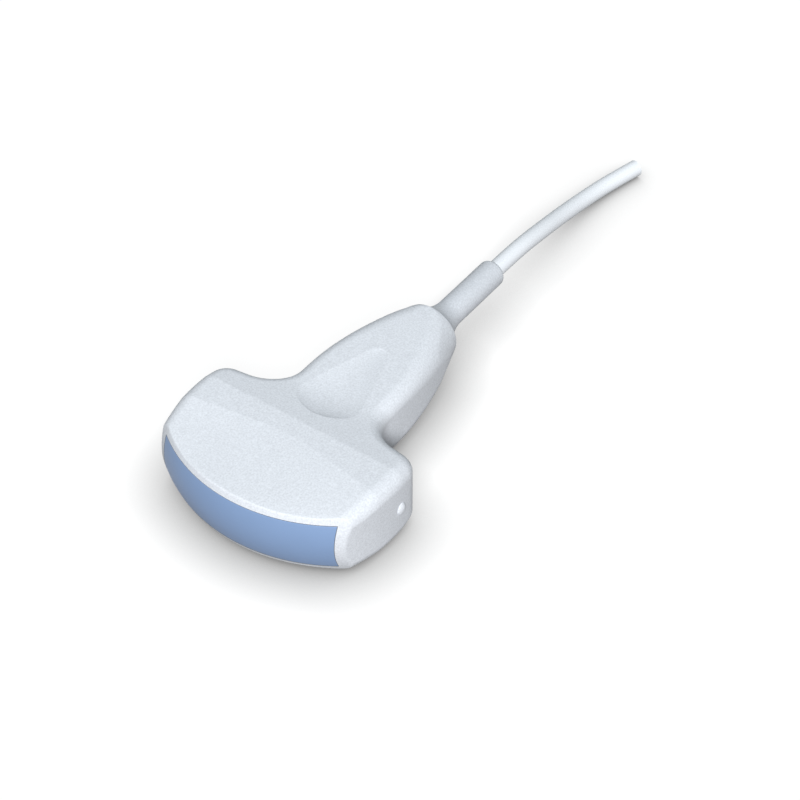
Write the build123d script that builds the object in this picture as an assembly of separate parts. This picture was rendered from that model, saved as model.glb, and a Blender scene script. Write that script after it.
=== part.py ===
"""Convex ultrasound transducer probe with the start of its cable, in millimetres.

The housing is modelled about its mid-plane and moved up at export, so that it rests on the level band of its
underside. X runs along the lens, +Y points down the cable and +Z is up. The origin lies on the resting face.
"""
from build123d import *
import os
from math import asin, atan, cos, degrees, pi, radians, sin, sqrt, tan

os.makedirs("parts", exist_ok=True)

# Housing seen from above
FACE_R = 60.0
FACE_FRONT_Y = -33.8
HEAD_HALF_WIDTH = 40.8
HEAD_SIDE_R = 72.0
HEAD_WIDEST_Y = -0.6
HEAD_BACK_Y = 12.6
SHOULDER_EASE = 2.2
NECK_Y = 15.8
NECK_R = 13.0
HANDLE_HALF_WIDTH = 18.4
HANDLE_WIDEST_Y = 31.0
HOUSING_END_Y = 83.0
END_R = 12.0
END_TRIM = 0.25

# Housing seen from the side, as half thicknesses
NOSE_HALF = 11.3
BAND_HALF = 14.0
HANDLE_HALF = 11.5
END_HALF = 10.4
MIDDLE_FACET = 30.1
SIDE_FACET = 14.2
RIDGE_Y = 3.2
RIDGE_R = 6.5
SLOPE_FOOT_Y = 19.9
SLOPE_BLEND_R = 60.0

# Housing edges and wall
EDGE_R = 5.3
NOSE_EDGE_R = 3.4
NOSE_EDGE_RUN = 3.0
EDGE_GROWTH_RUN = 20.0
HANDLE_END_EDGE_R = 10.3
CORNER_R = 2.5
RIM_R = 0.9
WALL = 2.2
NOSE_WALL = 3.0

# Lens in the crowned convex face
FACE_CROWN_R = 25.0
LENS_SIDE_BORDER = 6.4
LENS_LIP = 2.15
LENS_THICKNESS = 1.4
LENS_SEAM = 0.08

# Thumb recess in both faces: round base, straight sides that would meet at the apex, and round tip
RECESS_BASE_Y = 9.6
RECESS_BASE_R = 14.0
RECESS_APEX_Y = 57.5
RECESS_TAPER = 0.335
RECESS_TIP_Y = 48.6
RECESS_TIP_R = 3.6
RECESS_RIM_SLOPE = 8.5

# Joint between the shells
TONGUE_WIDTH = 0.8
TONGUE_HEIGHT = 0.8
TONGUE_PLAY = 0.08
TONGUE_FRONT = 6.0
TONGUE_BACK = 4.0

# Array stack behind the lens
BOND = 0.05
OUTER_MATCHING = 0.4
INNER_MATCHING = 0.5
PIEZO = 0.45
PIEZO_SINK = 0.01
BACKING = 6.5
ELEMENT_COUNT = 64
ELEMENT_KERF = 0.15
ELEMENT_MARGIN = 1.0
FRAME_PLAY = 0.15
FRAME_LENS_MARGIN = 0.45
FRAME_WALL = 1.7
FRAME_SIDE_MARGIN = 1.2
FRAME_SIDE_WALL = 3.0
FLEX = 0.25
FLEX_MARGIN = 4.3
FLEX_CLEAR = 0.6
FLEX_DROP = 4.5

# Spine and boards
SPINE_WEB = 1.3
SPINE_WEB_MARGIN = 0.8
SPINE_PLATE = 1.2
SPINE_PLATE_MARGIN = 0.5
SPINE_TAIL = 2.0
BOARD = 1.2
BOARD_GAP = 3.4
BOARD_FRONT_CLEAR = 1.6
BOARD_SIDE_CLEAR = 12.6
BOARD_BACK_CLEAR = 11.6
BOARD_SHOULDER = 6.5
BOARD_TAIL_CLEAR = 3.0
BOARD_TAIL = 20.5
SCREW_R = 0.95
SCREW_HEAD_R = 1.8
SCREW_HEAD = 1.1
SCREW_PLAY = 0.1
SCREW_INSET = 4.0
SCREW_FIRST = 3.0
SCREW_PITCH = 9.5
SPACER_R = 2.1
POST_R = 1.6
POST_INSET = 2.4
POST_FRONT = 4.5
CONNECTOR = 1.7
CONNECTOR_DEPTH = 3.5
CONNECTOR_INSET = 0.3
CONNECTOR_GAP_ANGLE = 2.5
INDUCTOR = 2.4
INDUCTOR_HEIGHT = 1.8
INDUCTOR_PITCH = 3.6
INDUCTOR_COLUMNS = 8
INDUCTOR_ROWS = 3
INDUCTOR_SETBACK = 2.4
CAN_WALL = 0.3
CAN_MARGIN = 0.9

# Cable, clamp and boot
CABLE_R = 3.185
GRIP_PLAY = 0.05
END_WALL = 11.2
CLAMP_LENGTH = 8.0
CLAMP_GAP = 4.0
CLAMP_HALF = 6.2
CLAMP_SCREW_WALL = 1.7
CLAMP_EDGE = 0.5
CLAMP_ROUND = 1.5
CABLE_LEAD = 7.0
FERRULE_LENGTH = 4.5
FERRULE_WALL = 0.8
FERRULE_SETBACK = 1.0
BUNDLE_ON_BOARD = 5.5
BUNDLE_THICKNESS = 1.6
BUNDLE_WIDTH = 12.0
BUNDLE_WAIST = 10.0
BUNDLE_WAIST_RISE = 0.2
BUNDLE_WAIST_RUN = 3.0
BUNDLE_END = 2.6
BUNDLE_END_GAP = 0.2
BUNDLE_ROUND = 0.5
BOOT_WALL = 1.9
BOOT_NECK_WALL = 2.75
BOOT_PLAY = 0.1
BOOT_OVERLAP = 0.5
FLANGE = 3.1
FLANGE_STEP = 1.35
SEAL_WIRE_R = 0.5
SEAL_PLAY = 0.15
SEAL_SETBACK = 6.0
FLARE_RISE = 2.9
FLARE_LIP = 0.25
FLARE_BLEND_R = 9.0
BOOT_LENGTH = 31.9
BOOT_EDGE_R = 1.5

# Orientation marker on the right side
MARKER_Y = 1.8
MARKER_WIDTH = 3.2
MARKER_HEIGHT = 4.0
MARKER_RISE = 1.1
MARKER_SINK = 0.3
MARKER_STEM_R = 0.9
MARKER_STEM_END = 1.0
MARKER_HEAD_R = 1.5
MARKER_HEAD = 0.9

# Helpers of the construction: a size past the whole probe and small overlaps of cutters
FAR = 200.0
PAST = 1.0
SLIVER = 0.03

# Face, lens and housing
START_Y = FACE_FRONT_Y - 4 * PAST
FACE_CENTRE_Y = FACE_FRONT_Y + FACE_R
LENS_CHORD = 2 * (HEAD_HALF_WIDTH - LENS_SIDE_BORDER)
LENS_HEIGHT = 2 * (NOSE_HALF - LENS_LIP)
LENS_SIDE_Y = FACE_CENTRE_Y - sqrt(FACE_R**2 - (LENS_CHORD / 2) ** 2)
CREASE_SIDE_Y = LENS_SIDE_Y + SIDE_FACET
SLOPE = (BAND_HALF - HANDLE_HALF) / (SLOPE_FOOT_Y - RIDGE_Y)
SHOULDER_R = EDGE_R + SHOULDER_EASE
END_CENTRE_Y = HOUSING_END_Y - END_R
HANDLE_BACK = END_CENTRE_Y - HANDLE_WIDEST_Y
HANDLE_SIDE_R = (HANDLE_BACK**2 + HANDLE_HALF_WIDTH**2 - END_R**2) / (2 * (HANDLE_HALF_WIDTH - END_R))

# Array stack, from the lens inwards
LENS_BACK_R = FACE_R - LENS_THICKNESS
OUTER_LAYER_R = LENS_BACK_R - BOND
INNER_LAYER_R = OUTER_LAYER_R - OUTER_MATCHING - BOND
PIEZO_R = INNER_LAYER_R - INNER_MATCHING - BOND
BACKING_R = PIEZO_R - PIEZO - BOND
BACKING_BACK_R = BACKING_R - BACKING
SPINE_WEB_R = BACKING_BACK_R - BOND
WEB_BACK_R = SPINE_WEB_R - SPINE_WEB
FRAME_CHORD = LENS_CHORD - 2 * FRAME_SIDE_MARGIN
FRAME_HEIGHT = LENS_HEIGHT - 2 * FRAME_LENS_MARGIN
STACK_CHORD = FRAME_CHORD - 2 * FRAME_SIDE_WALL
STACK_HEIGHT = FRAME_HEIGHT - 2 * FRAME_WALL
SPINE_WEB_CHORD = STACK_CHORD + 2 * SPINE_WEB_MARGIN
ELEMENT_PITCH = 2 * degrees(asin((STACK_CHORD / 2 - ELEMENT_MARGIN) / PIEZO_R)) / ELEMENT_COUNT
FLEX_SPAN = 2 * degrees(asin((STACK_CHORD / 2 - FLEX_MARGIN) / BACKING_R))
FLEX_IN = STACK_HEIGHT / 2 + BOND
FLEX_CREST_R = WEB_BACK_R - FLEX_CLEAR
FLEX_FOOT_R = FLEX_CREST_R - FLEX_DROP

# Boards and spine
BOARD_IN = SPINE_PLATE / 2 + BOARD_GAP
BOARD_OUT = BOARD_IN + BOARD
BOARD_FRONT_R = WEB_BACK_R - BOARD_FRONT_CLEAR
BOARD_HALF_WIDTH = HEAD_HALF_WIDTH - WALL - BOARD_SIDE_CLEAR
BOARD_TAIL_HALF = HANDLE_HALF_WIDTH - WALL - BOARD_TAIL_CLEAR
BOARD_SHOULDER_Y = HEAD_BACK_Y - BOARD_BACK_CLEAR
BOARD_NECK_Y = BOARD_SHOULDER_Y + BOARD_SHOULDER
BOARD_END_Y = BOARD_NECK_Y + BOARD_TAIL
SPINE_END_Y = BOARD_END_Y + SPINE_TAIL
SPINE_PLATE_HALF = BOARD_TAIL_HALF + SPINE_PLATE_MARGIN
INDUCTOR_Y = BOARD_SHOULDER_Y - INDUCTOR_SETBACK
SCREW_X = BOARD_TAIL_HALF - SCREW_INSET
SCREW_ROWS = (BOARD_NECK_Y + SCREW_FIRST, BOARD_NECK_Y + SCREW_FIRST + SCREW_PITCH)
SCREW_PLACES = tuple((side * SCREW_X, y) for y in SCREW_ROWS for side in (-1, 1))
POST_FRONT_X = BOARD_HALF_WIDTH - POST_INSET
POST_FRONT_Y = FACE_CENTRE_Y - sqrt(BOARD_FRONT_R**2 - POST_FRONT_X**2) + POST_FRONT
POST_CORNERS = ((POST_FRONT_X, POST_FRONT_Y), (BOARD_TAIL_HALF - POST_INSET, BOARD_END_Y - POST_INSET))
POST_PLACES = tuple((side * x, y) for x, y in POST_CORNERS for side in (-1, 1))

# Cable, clamp and boot
MOUTH_R = CABLE_R + GRIP_PLAY
CAVITY_END_Y = HOUSING_END_Y - END_WALL
CLAMP_Y = CAVITY_END_Y - CLAMP_GAP - CLAMP_LENGTH
CLAMP_SCREW_X = MOUTH_R + CLAMP_SCREW_WALL + SCREW_R
CLAMP_WIDTH = 2 * (CLAMP_SCREW_X + SCREW_HEAD_R + CLAMP_EDGE)
CABLE_START_Y = CLAMP_Y - CABLE_LEAD
BUNDLE_START_Y = BOARD_END_Y - BUNDLE_ON_BOARD
BOOT_R = CABLE_R + BOOT_WALL
BOOT_NECK_R = CABLE_R + BOOT_NECK_WALL
FLANGE_R = BOOT_NECK_R + FLANGE_STEP
SEAL_Y = CAVITY_END_Y + SEAL_SETBACK
FLARE_R = BOOT_R + FLARE_RISE
FLARE_LIP_Y = END_CENTRE_Y + sqrt(END_R**2 - FLARE_R**2) + FLARE_LIP
BOOT_END_Y = HOUSING_END_Y + BOOT_LENGTH

# The free cable's route, chosen by hand above the resting face; the last points lie on the floor
FLOOR_GAP = 0.02
CABLE_ROUTE = [
    (0.0, BOOT_END_Y, BAND_HALF),
    (0.0, 129.4, BAND_HALF),
    (-0.4, 145.5, 11.6),
    (-1.5, 162.0, 7.8),
    (-1.7, 178.8, 4.6),
    (0.0, 195.3, CABLE_R + FLOOR_GAP),
    (3.5, 209.3, CABLE_R + FLOOR_GAP),
]


def head_side_x(y):
    """Half width of the head's side arc at a place along the probe."""
    return HEAD_HALF_WIDTH - HEAD_SIDE_R + sqrt(HEAD_SIDE_R**2 - (y - HEAD_WIDEST_Y) ** 2)


def handle_side_x(y):
    """Half width of the handle's side arc at a place along the probe."""
    return HANDLE_HALF_WIDTH - HANDLE_SIDE_R + sqrt(HANDLE_SIDE_R**2 - (y - HANDLE_WIDEST_Y) ** 2)


def end_share(y):
    """How far a place lies from the handle's widest place towards the housing's end."""
    return max(0.0, (y - HANDLE_WIDEST_Y) / (HOUSING_END_Y - HANDLE_WIDEST_Y))


def top_half(y):
    """Half thickness behind the ridge: back slope, its blend into the handle, and the handle."""
    blend = SLOPE_BLEND_R * tan(atan(SLOPE) / 2)
    if y < SLOPE_FOOT_Y - blend:
        return BAND_HALF - (y - RIDGE_Y) * SLOPE
    if y < SLOPE_FOOT_Y + blend:
        return HANDLE_HALF + SLOPE_BLEND_R - sqrt(SLOPE_BLEND_R**2 - (SLOPE_FOOT_Y + blend - y) ** 2)
    return HANDLE_HALF - (HANDLE_HALF - END_HALF) * end_share(y) ** 3


def across(y):
    """The plane of a cross-section, with its X axis along the lens and its Y axis up."""
    return Plane(origin=(0, y, 0), x_dir=(1, 0, 0), z_dir=(0, -1, 0))


def plan_face(last_y):
    """The housing's outline from above, from its front to a place on the handle."""
    front = (head_side_x(START_Y), START_Y)
    side_y = (START_Y + HEAD_BACK_Y) / 2
    side = (head_side_x(side_y), side_y)
    shoulder = (head_side_x(HEAD_BACK_Y), HEAD_BACK_Y)
    neck = (handle_side_x(NECK_Y), NECK_Y)
    grip = (handle_side_x((NECK_Y + last_y) / 2), (NECK_Y + last_y) / 2)
    last = (handle_side_x(last_y), last_y)
    rim = [
        ThreePointArc(front, side, shoulder),
        Line(shoulder, neck),
        ThreePointArc(neck, grip, last),
        Line(last, (0, last_y)),
        Line((0, last_y), (0, START_Y)),
        Line((0, START_Y), front),
    ]
    half = make_face(Curve() + rim)
    half = fillet(half.vertices().sort_by_distance((*shoulder, 0))[0], SHOULDER_R)
    half = fillet(half.vertices().sort_by_distance((*neck, 0))[0], NECK_R)
    return half + mirror(half, Plane.YZ)


def side_face(inset):
    """The head and neck seen from the side: level band, back slope and the start of the handle."""
    band, handle = BAND_HALF - inset, HANDLE_HALF - inset
    top = FilletPolyline(
        (START_Y - PAST, band),
        (RIDGE_Y, band),
        (SLOPE_FOOT_Y, handle),
        (HANDLE_WIDEST_Y, handle),
        radius=[RIDGE_R, SLOPE_BLEND_R],
    )
    lower = mirror(top, Plane.XZ)
    ends = [Line(top @ 0, lower @ 0), Line(top @ 1, lower @ 1)]
    return Plane.YZ * make_face(Curve() + [top, lower, *ends])


def head_block(inset):
    """Head and neck as one block with its upper and lower edges rounded."""
    plan = plan_face(HANDLE_WIDEST_Y)
    if inset:
        grown = offset(plan_face(HANDLE_WIDEST_Y + 2 * inset), -inset, kind=Kind.INTERSECTION)
        plan = grown & Pos(0, HANDLE_WIDEST_Y - FAR / 2) * Rectangle(FAR, FAR)
    block = extrude(plan, BAND_HALF + PAST, both=True) & extrude(side_face(inset), FAR / 2, both=True)
    ends = (START_Y, START_Y + inset, HANDLE_WIDEST_Y)
    rims = [
        edge
        for edge in block.edges()
        if abs(edge.center().Z) > HANDLE_HALF - inset - PAST
        and abs(edge.center().X) > EDGE_R
        and min(abs(edge.center().Y - end) for end in ends) > 10 * SLIVER
    ]
    return fillet(rims, EDGE_R - inset)


def facet_section(y, inset):
    """Cross-section through the raked facets, crowned along the lens."""
    rise = BAND_HALF - NOSE_HALF
    side = NOSE_HALF + rise * (y - LENS_SIDE_Y) / SIDE_FACET - inset
    middle = NOSE_HALF + rise * (y - FACE_FRONT_Y) / MIDDLE_FACET - inset
    wide = head_side_x(y) + SLIVER - inset
    share = min(1.0, max(0.0, (y - FACE_FRONT_Y - NOSE_EDGE_RUN) / EDGE_GROWTH_RUN))
    radius = NOSE_EDGE_R + (EDGE_R - NOSE_EDGE_R) * share - inset
    rim = [
        ThreePointArc((-wide, side), (0, middle), (wide, side)),
        Line((wide, side), (wide, -side)),
        ThreePointArc((wide, -side), (0, -middle), (-wide, -side)),
        Line((-wide, -side), (-wide, side)),
    ]
    face = make_face(Curve() + rim)
    return across(y) * fillet(face.vertices(), radius)


def facets(inset):
    """The space that the raked facets leave, joined to all that lies behind the ridge."""
    start = START_Y + SLIVER
    count = 5
    places = [start + (RIDGE_Y - start) * step / (count - 1) for step in range(count)]
    raked = loft([facet_section(y, inset) for y in places])
    behind = Pos(0, RIDGE_Y + FAR / 2, 0) * Box(FAR, FAR, FAR)
    return raked + behind


def handle_section(y, inset):
    """Cross-section of the handle, rounder towards its end."""
    share = end_share(y)
    half = top_half(max(y, HANDLE_WIDEST_Y)) - inset
    radius = EDGE_R + (HANDLE_END_EDGE_R - EDGE_R) * share**2 * (3 - 2 * share) - inset
    wide = handle_side_x(y) - inset
    return across(y) * RectangleRounded(2 * wide, 2 * half, min(radius, wide - SLIVER, half - SLIVER))


def handle_block(inset):
    """The handle behind its widest place, closed by a round end."""
    length = HOUSING_END_Y - HANDLE_WIDEST_Y
    count = 7
    places = [HANDLE_WIDEST_Y + length * step / (count - 1) for step in range(count)]
    grip = loft([handle_section(y, inset) for y in places])
    turn = atan(HANDLE_BACK / (HANDLE_SIDE_R - HANDLE_HALF_WIDTH))
    radius = END_R - END_TRIM - inset
    centre_y = END_CENTRE_Y + END_TRIM
    meet = (radius * cos(turn), centre_y + radius * sin(turn))
    back = HANDLE_BACK + 5 * PAST + radius * sin(turn)
    wide = (meet[0] + back * tan(turn), meet[1] - back)
    middle = (radius * cos((turn + pi / 2) / 2), centre_y + radius * sin((turn + pi / 2) / 2))
    tip = (0, centre_y + radius)
    profile = make_face(
        Curve()
        + [
            Line((0, wide[1]), wide),
            Line(wide, meet),
            ThreePointArc(meet, middle, tip),
            Line(tip, (0, wide[1])),
        ]
    )
    return grip & revolve(profile, Axis.Y, 360)


def crowned_drum():
    """The drum whose front is the crowned convex face."""
    rim_depth = FACE_CROWN_R - sqrt(FACE_CROWN_R**2 - (LENS_HEIGHT / 2) ** 2)
    apex = FACE_R + rim_depth
    high = BAND_HALF + PAST
    edge = apex - FACE_CROWN_R + sqrt(FACE_CROWN_R**2 - high**2)
    rim = [
        ThreePointArc((edge, -high), (apex, 0), (edge, high)),
        Line((edge, high), (0, high)),
        Line((0, high), (0, -high)),
        Line((0, -high), (edge, -high)),
    ]
    return Pos(0, FACE_CENTRE_Y, 0) * revolve(Plane.XZ * make_face(Curve() + rim), Axis.Z, 360)


def front_zone(chord, height):
    """A box in front of the face's centre with the given chord and height."""
    return Pos(0, FACE_CENTRE_Y - FAR / 2, 0) * Box(chord, FAR, height)


def arc_wall(inner_r, outer_r, chord, height):
    """Part of a round wall about the face's centre."""
    wall = Cylinder(outer_r, height + PAST) - Cylinder(inner_r, height + 2 * PAST)
    return Pos(0, FACE_CENTRE_Y, 0) * wall & front_zone(chord, height)


def recess_half(y):
    """Half width of the thumb recess: the softened least of its base, side and tip curves."""
    base = sqrt(RECESS_BASE_R**2 - max(0.0, RECESS_BASE_Y + RECESS_BASE_R - y) ** 2)
    side = RECESS_TAPER * (RECESS_APEX_Y - y)
    tip = sqrt(RECESS_TIP_R**2 - max(0.0, y - RECESS_TIP_Y + RECESS_TIP_R) ** 2)
    near_tip = tip if y > RECESS_TIP_Y - RECESS_TIP_R else side
    sharpness = 12
    return (base**-sharpness + side**-sharpness + near_tip**-sharpness) ** (-1 / sharpness)


def scoop():
    """Cutter for the thumb recess of the upper face: a shallow hollow that narrows down the handle."""
    slope = radians(RECESS_RIM_SLOPE)
    count = 16
    sections = []
    for step in range(count):
        share = (1 - cos(pi * (step + 0.25) / (count - 0.5))) / 2
        y = RECESS_BASE_Y + (RECESS_TIP_Y - RECESS_BASE_Y) * share
        half = recess_half(y)
        top = top_half(y)
        radius = half / sin(slope)
        depth = half * tan(slope / 2)
        reach = sqrt(radius**2 - (radius - depth - PAST) ** 2)
        arc = ThreePointArc((-reach, top + PAST), (0, top - depth), (reach, top + PAST))
        lid = Line((reach, top + PAST), (-reach, top + PAST))
        sections.append(across(y) * make_face(Curve() + [arc, lid]))
    return loft(sections, ruled=True)


def housing_form():
    """The outside of the closed housing as one solid."""
    head = head_block(0) & facets(0) & crowned_drum()
    corners = [
        edge
        for edge in head.edges()
        if abs(edge.center().Z) < PAST
        and edge.center().Y < CREASE_SIDE_Y
        and abs(edge.center().X) > HEAD_HALF_WIDTH - 2 * LENS_SIDE_BORDER
    ]
    head = fillet(corners, CORNER_R)
    front = head.faces().sort_by(Axis.Y)[0]
    rims = [edge for edge in front.edges() if abs(edge.center().Z) > PAST]
    head = fillet(rims, RIM_R)
    body = head + handle_block(0)
    recess = scoop()
    return body - recess - mirror(recess, Plane.XY)


def cavity_form():
    """The space inside the walls, up to the end wall that holds the boot."""
    inside_face = Pos(0, FACE_CENTRE_Y, 0) * Cylinder(FACE_R - NOSE_WALL, FAR)
    head = head_block(WALL) & facets(WALL) & inside_face
    room = head + handle_block(WALL)
    return room & Pos(0, CAVITY_END_Y - FAR / 2, 0) * Box(FAR, FAR, FAR)


def along_y(radius, start, length):
    """A round bar on the long axis."""
    return Pos(0, start + length / 2, 0) * Rot(90, 0, 0) * Cylinder(radius, length)


def along_x(radius, start, length, y):
    """A round bar along the lens at a place along the probe."""
    return Pos(start + length / 2, y, 0) * Rot(0, 90, 0) * Cylinder(radius, length)


def marker_shape(play):
    """Dome, stem and inner head of the orientation marker, grown by a clearance."""
    wall_x = head_side_x(MARKER_Y)
    rise = MARKER_RISE + MARKER_SINK + play
    dome = scale(Sphere(1), by=(rise, MARKER_WIDTH / 2 + play, MARKER_HEIGHT / 2 + play))
    stem_end = wall_x - WALL - MARKER_STEM_END
    stem = along_x(MARKER_STEM_R + play, stem_end, wall_x - stem_end, MARKER_Y)
    shape = Pos(wall_x - MARKER_SINK, MARKER_Y, 0) * dome + stem
    if play:
        return shape
    return shape + along_x(MARKER_HEAD_R, stem_end, MARKER_HEAD, MARKER_Y)


def tongue(width, height):
    """Both strands of the tongue on the joint line, as tall as given on each side of it."""
    last = CAVITY_END_Y - TONGUE_BACK
    first = CREASE_SIDE_Y - TONGUE_FRONT
    plan = plan_face(HOUSING_END_Y)
    middle = WALL / 2
    strip = offset(plan, -(middle - width / 2), kind=Kind.INTERSECTION)
    strip -= offset(plan, -(middle + width / 2), kind=Kind.INTERSECTION)
    strip &= Pos(0, (first + last) / 2) * Rectangle(FAR, last - first)
    return extrude(strip, height, both=True)


def supports(body):
    """Posts that hold the boards and pads that hold the clamp, in both shells."""
    post_height = BAND_HALF - BOARD_OUT
    one = Part()
    for x, y in POST_PLACES:
        one += Pos(x, y, BOARD_OUT + BOND + post_height / 2) * Cylinder(POST_R, post_height)
    pad_height = BAND_HALF - CLAMP_HALF
    pad = Pos(0, CLAMP_Y + CLAMP_LENGTH / 2, CLAMP_HALF + BOND + pad_height / 2)
    one += pad * Box(CLAMP_WIDTH / 2, CLAMP_LENGTH / 2, pad_height)
    one &= body
    return one + mirror(one, Plane.XY)


def shells():
    """Upper and lower shell, cut from the closed form at mid-height."""
    body = housing_form()
    chord, height = LENS_CHORD + 2 * LENS_SEAM, LENS_HEIGHT + 2 * LENS_SEAM
    window = arc_wall(WEB_BACK_R, FACE_R + 6 * PAST, chord, height)
    gland = along_y(BOOT_NECK_R + BOOT_PLAY, CAVITY_END_Y - PAST, END_WALL + 3 * PAST)
    pocket = along_y(FLANGE_R + BOOT_PLAY, CAVITY_END_Y - PAST, PAST + FLANGE + 3 * BOOT_PLAY)
    inside = cavity_form() + window + gland + pocket
    hollow = body - inside + supports(body) - marker_shape(BOND)
    above = Pos(0, 0, FAR / 2) * Box(FAR, 2 * FAR, FAR)
    below = Pos(0, 0, -FAR / 2) * Box(FAR, 2 * FAR, FAR)
    upper = (hollow & above) + (tongue(TONGUE_WIDTH, TONGUE_HEIGHT) & below)
    lower = (hollow & below) - tongue(TONGUE_WIDTH + 2 * TONGUE_PLAY, TONGUE_HEIGHT + TONGUE_PLAY)
    return upper - marker_shape(BOND), lower


def lens():
    """Silicone lens: crowned outside, round inside, flush with the window."""
    block = crowned_drum() & front_zone(LENS_CHORD, LENS_HEIGHT)
    return block - Pos(0, FACE_CENTRE_Y, 0) * Cylinder(LENS_BACK_R, FAR)


def stack_layer(outer_r, thickness):
    """One layer of the array stack."""
    return arc_wall(outer_r - thickness, outer_r, STACK_CHORD, STACK_HEIGHT)


def piezo_row():
    """The row of piezo elements, one bar each."""
    width = radians(ELEMENT_PITCH) * PIEZO_R - ELEMENT_KERF
    depth = PIEZO - 2 * PIEZO_SINK
    bar = Pos(0, PIEZO / 2 + PIEZO_SINK - PIEZO_R, 0) * Box(width, depth, STACK_HEIGHT - 2 * TONGUE_PLAY)
    first = -ELEMENT_PITCH * (ELEMENT_COUNT - 1) / 2
    turns = [first + ELEMENT_PITCH * step for step in range(ELEMENT_COUNT)]
    return Compound([Pos(0, FACE_CENTRE_Y, 0) * Rot(0, 0, turn) * bar for turn in turns])


def array_frame():
    """Frame round the stack, bonded to the back of the lens."""
    outer = arc_wall(BACKING_BACK_R + BOND, OUTER_LAYER_R, FRAME_CHORD, FRAME_HEIGHT)
    pocket_height = STACK_HEIGHT + 2 * (BOND + FLEX + FRAME_PLAY)
    return outer - arc_wall(WEB_BACK_R, FACE_R, STACK_CHORD + 2 * FRAME_PLAY, pocket_height)


def heat_spreader():
    """Arc web behind the backing with a spine plate down the middle of the probe."""
    web = arc_wall(WEB_BACK_R, SPINE_WEB_R, SPINE_WEB_CHORD, STACK_HEIGHT - 2 * FRAME_PLAY)
    start = FACE_CENTRE_Y - SPINE_WEB_R
    plate = Pos(0, (start + SPINE_END_Y) / 2, 0) * Box(2 * SPINE_PLATE_HALF, SPINE_END_Y - start, SPINE_PLATE)
    plate &= Pos(0, FACE_CENTRE_Y, 0) * Cylinder(SPINE_WEB_R - SPINE_WEB / 2, FAR)
    for x, y in SCREW_PLACES:
        plate -= Pos(x, y, 0) * Cylinder(SCREW_R + SCREW_PLAY, 2 * SPINE_PLATE)
    return web + plate


def flex():
    """Upper flex circuit: leaves the stack, crosses the web and lies down on the board."""
    over = FLEX_IN
    down = BOARD_OUT + BOND
    last = FLEX_FOOT_R - CONNECTOR_DEPTH - 2 * CONNECTOR_INSET
    under = [(BACKING_R, over), (FLEX_CREST_R, over), (FLEX_FOOT_R, down), (last, down)]
    above = [(radius, height + FLEX) for radius, height in reversed(under)]
    profile = make_face(Polyline(*under, *above, close=True))
    swept = revolve(Plane.XZ * profile, Axis.Z, FLEX_SPAN)
    return Pos(0, FACE_CENTRE_Y, 0) * Rot(0, 0, -90 - FLEX_SPAN / 2) * swept


def flex_connectors():
    """Two connectors on each board, clamping the flex circuits' tails."""
    floor = BOARD_OUT + 2 * BOND + FLEX
    outer = FLEX_FOOT_R - CONNECTOR_INSET
    inner = outer - CONNECTOR_DEPTH
    top = floor + CONNECTOR
    profile = make_face(Polyline((inner, floor), (outer, floor), (outer, top), (inner, top), close=True))
    solid = revolve(Plane.XZ * profile, Axis.Z, FLEX_SPAN / 2 - 2 * CONNECTOR_GAP_ANGLE)
    right = Pos(0, FACE_CENTRE_Y, 0) * Rot(0, 0, -90 + CONNECTOR_GAP_ANGLE) * solid
    pair = [right, mirror(right, Plane.YZ)]
    return Compound([*pair, *[mirror(one, Plane.XY) for one in pair]])


def board():
    """Upper interconnect board: its front follows the array, and its tail runs into the handle."""
    corners = [
        (BOARD_HALF_WIDTH, FACE_FRONT_Y),
        (BOARD_HALF_WIDTH, BOARD_SHOULDER_Y),
        (BOARD_TAIL_HALF, BOARD_NECK_Y),
        (BOARD_TAIL_HALF, BOARD_END_Y),
    ]
    outline = make_face(Polyline(*corners, *[(-x, y) for x, y in reversed(corners)], close=True))
    plate = Pos(0, 0, BOARD_IN) * extrude(outline, BOARD)
    plate &= Pos(0, FACE_CENTRE_Y, 0) * Cylinder(BOARD_FRONT_R, FAR)
    for x, y in SCREW_PLACES:
        plate -= Pos(x, y, BOARD_IN) * Cylinder(SCREW_R + SCREW_PLAY, 4 * BOARD)
    return plate


def inductors():
    """Tuning inductors in a grid on each board."""
    block = Box(INDUCTOR, INDUCTOR, INDUCTOR_HEIGHT)
    places = GridLocations(INDUCTOR_PITCH, INDUCTOR_PITCH, INDUCTOR_COLUMNS, INDUCTOR_ROWS)
    grid = [Pos(0, INDUCTOR_Y, BOARD_OUT + INDUCTOR_HEIGHT / 2) * place * block for place in places]
    return Compound([*grid, *[mirror(one, Plane.XY) for one in grid]])


def shield_can():
    """Folded can over the upper board's inductors."""
    length = INDUCTOR_PITCH * (INDUCTOR_COLUMNS - 1) + INDUCTOR + 2 * CAN_MARGIN
    width = INDUCTOR_PITCH * (INDUCTOR_ROWS - 1) + INDUCTOR + 2 * CAN_MARGIN
    height = INDUCTOR_HEIGHT + CAN_MARGIN
    outer = Pos(0, INDUCTOR_Y, BOARD_OUT + height / 2) * Box(length, width, height)
    room = Box(length - 2 * CAN_WALL, width - 2 * CAN_WALL, height)
    return outer - Pos(0, INDUCTOR_Y, BOARD_OUT + height / 2 - CAN_WALL) * room


def spacers():
    """Spacers between the spine plate and the boards."""
    start = SPINE_PLATE / 2
    ring = Cylinder(SPACER_R, BOARD_GAP) - Cylinder(SCREW_R + SCREW_PLAY, 2 * BOARD_GAP)
    upper = [Pos(x, y, start + BOARD_GAP / 2) * ring for x, y in SCREW_PLACES]
    return Compound([*upper, *[mirror(one, Plane.XY) for one in upper]])


def screw(top, bottom):
    """A cheese-head screw: shank between two heights, head above."""
    shank = Pos(0, 0, (top + bottom) / 2) * Cylinder(SCREW_R, top - bottom)
    return shank + Pos(0, 0, top + SCREW_HEAD / 2) * Cylinder(SCREW_HEAD_R, SCREW_HEAD)


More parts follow.
